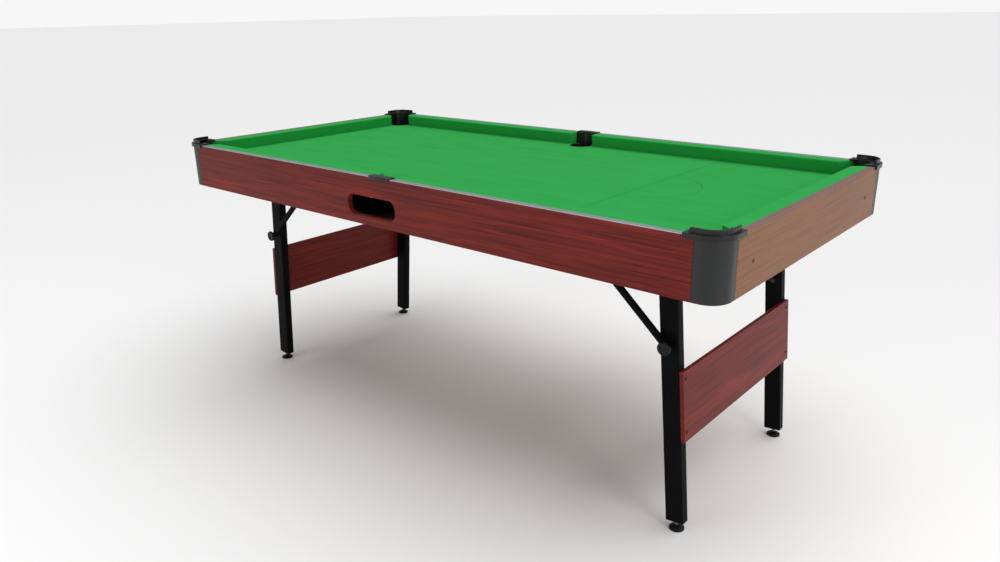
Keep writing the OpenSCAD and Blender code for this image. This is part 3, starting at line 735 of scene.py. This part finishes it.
def cushion_points(start, finish_at, depth, height, start_jaw, finish_jaw):
    """Rows of points as (along, in, up). A jaw is the change in length for each metre towards the nose."""
    section = cushion_section(depth, height)
    bend = np.radians(np.linspace(0, 90, JAW_ROWS))
    rows = []
    for angle in bend:
        ring = inset(section, JAW_ROUND * (1 - math.sin(angle)) * 0.5)
        along = start + ring[:, 0] * start_jaw + JAW_ROUND * (1 - math.cos(angle))
        rows.append(np.column_stack([along, ring]))
    middle = np.linspace(0, 1, 26)[1:-1]
    left, right = rows[-1][:, 0], finish_at + section[:, 0] * finish_jaw - JAW_ROUND
    rows += [np.column_stack([left + (right - left) * t, section]) for t in middle]
    for angle in bend[::-1]:
        ring = inset(section, JAW_ROUND * (1 - math.sin(angle)) * 0.5)
        along = finish_at + ring[:, 0] * finish_jaw - JAW_ROUND * (1 - math.cos(angle))
        rows.append(np.column_stack([along, ring]))
    return np.array(rows)


def add_cushion(node, along_axis, start_jaw, finish_jaw):
    """Lays a run along its side: the box gives where it starts, ends, stands and how deep it is."""
    low, high = (np.array(corner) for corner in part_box(node))
    across_axis = 1 - along_axis
    depth = high[across_axis] - low[across_axis]
    height = high[2] - low[2]
    run = cushion_points(low[along_axis], high[along_axis], depth, height, start_jaw, finish_jaw)
    rows, columns = run.shape[:2]
    flat = run.reshape(-1, 3)
    points = np.zeros_like(flat)
    points[:, along_axis] = flat[:, 0]
    inward_from_low = (low + high)[across_axis] < 0
    points[:, across_axis] = (low[across_axis] + flat[:, 1] if inward_from_low
                              else high[across_axis] - flat[:, 1])
    points[:, 2] = low[2] + flat[:, 2]
    faces = grid_faces(rows, columns, ring=True)
    caps = np.array([points[:columns].mean(axis=0), points[-columns:].mean(axis=0)])
    first, last = len(points), len(points) + 1
    ring = np.arange(columns)
    following = (ring + 1) % columns
    faces += np.column_stack([following, ring, np.full(columns, first)]).tolist()
    end = (rows - 1) * columns
    faces += np.column_stack([ring + end, following + end, np.full(columns, last)]).tolist()
    piece = add_piece(node.replace("cushion_cloth", "cushion"), np.vstack([points, caps]), faces,
                      [finish["green_cloth"]])
    settle(piece, node)
    return piece


corner_cut = 1 / math.tan(CORNER_JAW)
side_cut = math.tan(SIDE_JAW)
cushions = [add_cushion("cushion_cloth_left_end", 1, corner_cut, -corner_cut),
            add_cushion("cushion_cloth_right_end", 1, corner_cut, -corner_cut)]
for side in ("front", "rear"):
    cushions.append(add_cushion(f"cushion_cloth_{side}_left", 0, corner_cut, -side_cut))
    cushions.append(add_cushion(f"cushion_cloth_{side}_right", 0, side_cut, -corner_cut))
for cushion in cushions:
    print(cushion.name, len(cushion.data.polygons), "faces")

# %% [markdown]
# ### Cloth on the bed
#
# The bed cloth is one piece, stretched flat and glued, with a hole at each pocket. Its outline is the
# bed's own: a rectangle with rounded corners, and six circles. The area between them is filled with
# triangles, and Solidify gives the cloth its thickness.

# %% Cloth on the bed
BED_CORNER = 0.031
POCKET_IN = 0.0545
CORNER_HOLE = 0.0367
SIDE_HOLE = 0.0357
THROAT_FIT = 0.0002
table_edge = Vector((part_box("right_apron")[1][0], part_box("rear_apron")[1][1]))
side_hole_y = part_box("side_pocket_rear")[0][1] + SIDE_HOLE - THROAT_FIT


def circle_loop(centre, radius, count=72):
    """Points round a circle in plan."""
    angle = np.linspace(0, 2 * np.pi, count, endpoint=False)
    return np.column_stack([centre[0] + radius * np.cos(angle), centre[1] + radius * np.sin(angle)])


def rounded_loop(low, high, radius, count=10):
    """Points round a rectangle whose corners are quarter circles."""
    loops = []
    for index, (x, y) in enumerate(((high[0], high[1]), (low[0], high[1]), (low[0], low[1]),
                                    (high[0], low[1]))):
        turn = np.radians(np.linspace(90 * index, 90 * index + 90, count))
        centre = (x - math.copysign(radius, x), y - math.copysign(radius, y))
        loops.append(np.column_stack([centre[0] + radius * np.cos(turn), centre[1] + radius * np.sin(turn)]))
    return np.vstack(loops)


def add_bed_cloth():
    """Fills the outline less its holes, then thickens it downwards."""
    low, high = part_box("bed_cloth")
    corner = table_edge - Vector((POCKET_IN, POCKET_IN))
    loops = [rounded_loop(low, high, BED_CORNER)]
    loops += [circle_loop((sx * corner.x, sy * corner.y), CORNER_HOLE) for sx in (-1, 1) for sy in (-1, 1)]
    loops += [circle_loop((0.0, sy * side_hole_y), SIDE_HOLE) for sy in (-1, 1)]
    shape = bmesh.new()
    for loop in loops:
        verts = [shape.verts.new((x, y, high[2])) for x, y in loop]
        for a, b in zip(verts, verts[1:] + verts[:1]):
            shape.edges.new((a, b))
    bmesh.ops.triangle_fill(shape, edges=shape.edges, use_beauty=True, normal=(0, 0, 1))
    data = bpy.data.meshes.new("bed_cloth_sheet")
    shape.to_mesh(data)
    shape.free()
    data.materials.append(finish["bed_green"])
    piece = bpy.data.objects.new("bed_cloth_sheet", data)
    bpy.context.collection.objects.link(piece)
    thick = piece.modifiers.new("thickness", "SOLIDIFY")
    thick.thickness = high[2] - low[2]
    thick.offset = -1.0
    settle(piece, "bed_cloth")
    area = sum(polygon.area for polygon in data.polygons)
    return area


cloth_area = add_bed_cloth()
print("bed cloth:", round(cloth_area, 4), "square metres; side holes at", round(side_hole_y, 4))

# %% [markdown]
# ### Knobs and feet
#
# Both are round mouldings, so a lathe profile describes them. A knob lies on its side: a stud, a
# collar, then a thick disc with a rounded rim and a slightly hollow face. A foot is a domed disc on
# the floor, with a threaded stud that leans with the leg. The thread is a tube whose radius rises
# and falls with the height less a share of the turn, which is what makes it a helix.

# %% Knobs
STUD_RADIUS = 0.004
KNOB_GRIP = 0.008
KNOB_NECK = 0.002


def knob_profile(length, radius):
    """(radius, distance out) from the stud's tip to the middle of the knob's face."""
    grip_from = length - KNOB_GRIP
    collar = radius * 0.55
    rim = KNOB_GRIP * 0.35
    return [(0.0, 0.0), (STUD_RADIUS - 0.0006, 0.0), (STUD_RADIUS, 0.0008),
            (STUD_RADIUS, grip_from - KNOB_NECK - 0.0001),
            (collar - 0.0006, grip_from - KNOB_NECK), (collar, grip_from - KNOB_NECK + 0.0006),
            (collar, grip_from - 0.0004),
            *quarter_round((radius - rim, grip_from + rim), rim, -90, 0),
            *quarter_round((radius - rim, length - rim), rim, 0, 90),
            (radius * 0.62, length - 0.0002), (radius * 0.55, length - 0.0010),
            (radius * 0.30, length - 0.0014),
            (0.0, length - 0.0015)]


def add_knob(node):
    """The profile's height axis is laid along +Y or -Y, away from the leg."""
    low, high = (np.array(corner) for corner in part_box(node))
    outward = 1 if low[1] > 0 else -1
    middle = (low + high) / 2
    profile = knob_profile(high[1] - low[1], (high[0] - low[0]) / 2)
    shape = turned(profile)
    near = low[1] if outward > 0 else high[1]
    points = np.column_stack([middle[0] + shape[:, 0], near + outward * shape[:, 2], middle[2] + shape[:, 1]])
    piece = add_piece(node + "_moulding", points, grid_faces(len(profile), 64, ring=True),
                      [finish["knob_plastic"]])
    settle(piece, node)
    return piece


# %% Feet
GLIDE_HEIGHT = 0.0105
THREAD_PITCH = 0.00125
LEG_LEAN = math.radians(5)


def add_foot(node):
    """A domed glide and a leaning threaded stud, each a closed surface of its own."""
    low, high = (np.array(corner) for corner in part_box(node))
    outward = 1 if low[0] > 0 else -1
    radius = (high[1] - low[1]) / 2
    centre_y = (low[1] + high[1]) / 2
    centre_x = low[0] + radius if outward < 0 else high[0] - radius
    profile = [(0.0, 0.0), (radius - 0.0015, 0.0),
               *quarter_round((radius - 0.0015, 0.0015), 0.0015, -90, 0, 5),
               (radius, 0.0034), *quarter_round((radius - 0.0012, 0.0034), 0.0012, 0, 60, 4),
               (radius * 0.72, 0.0070), (radius * 0.50, 0.0092), (0.0068, GLIDE_HEIGHT), (0.0, GLIDE_HEIGHT)]
    glide = turned(profile) + (centre_x, centre_y, 0.0)
    faces = grid_faces(len(profile), 64, ring=True)
    turns, around = 180, 24
    lift = np.linspace(0, 0.044, turns)[:, None]
    angle = np.linspace(0, 2 * np.pi, around, endpoint=False)[None, :]
    wave = np.abs(((lift / THREAD_PITCH - angle / (2 * np.pi)) % 1.0) - 0.5) * 2
    reach = STUD_RADIUS - 0.0006 * wave
    local = np.stack([reach * np.cos(angle), reach * np.sin(angle), lift + 0 * angle], -1).reshape(-1, 3)
    lean = -outward * LEG_LEAN
    rise = 0.008
    x = local[:, 0] * math.cos(lean) + local[:, 2] * math.sin(lean)
    z = local[:, 2] * math.cos(lean) - local[:, 0] * math.sin(lean)
    stud = np.column_stack([centre_x + x, centre_y + local[:, 1], rise + z])
    start = len(glide)
    faces += grid_faces(turns, around, ring=True, start=start)
    faces.append([start + k for k in range(around)][::-1])
    faces.append([start + (turns - 1) * around + k for k in range(around)])
    piece = add_piece(node + "_glide", np.vstack([glide, stud]), faces,
                      [finish["knob_plastic"], finish["bright_steel"]])
    highest = np.array([max(piece.data.vertices[k].co.z for k in face.vertices)
                        for face in piece.data.polygons])
    number = (highest > GLIDE_HEIGHT + 0.001).astype(np.int32)
    piece.data.polygons.foreach_set("material_index", number)
    settle(piece, node)
    return piece


for end in ("left", "right"):
    for side in ("front", "rear"):
        add_foot(f"foot_{end}_{side}")
    add_knob(f"knob_{end}_front")
print("knobs and feet done")
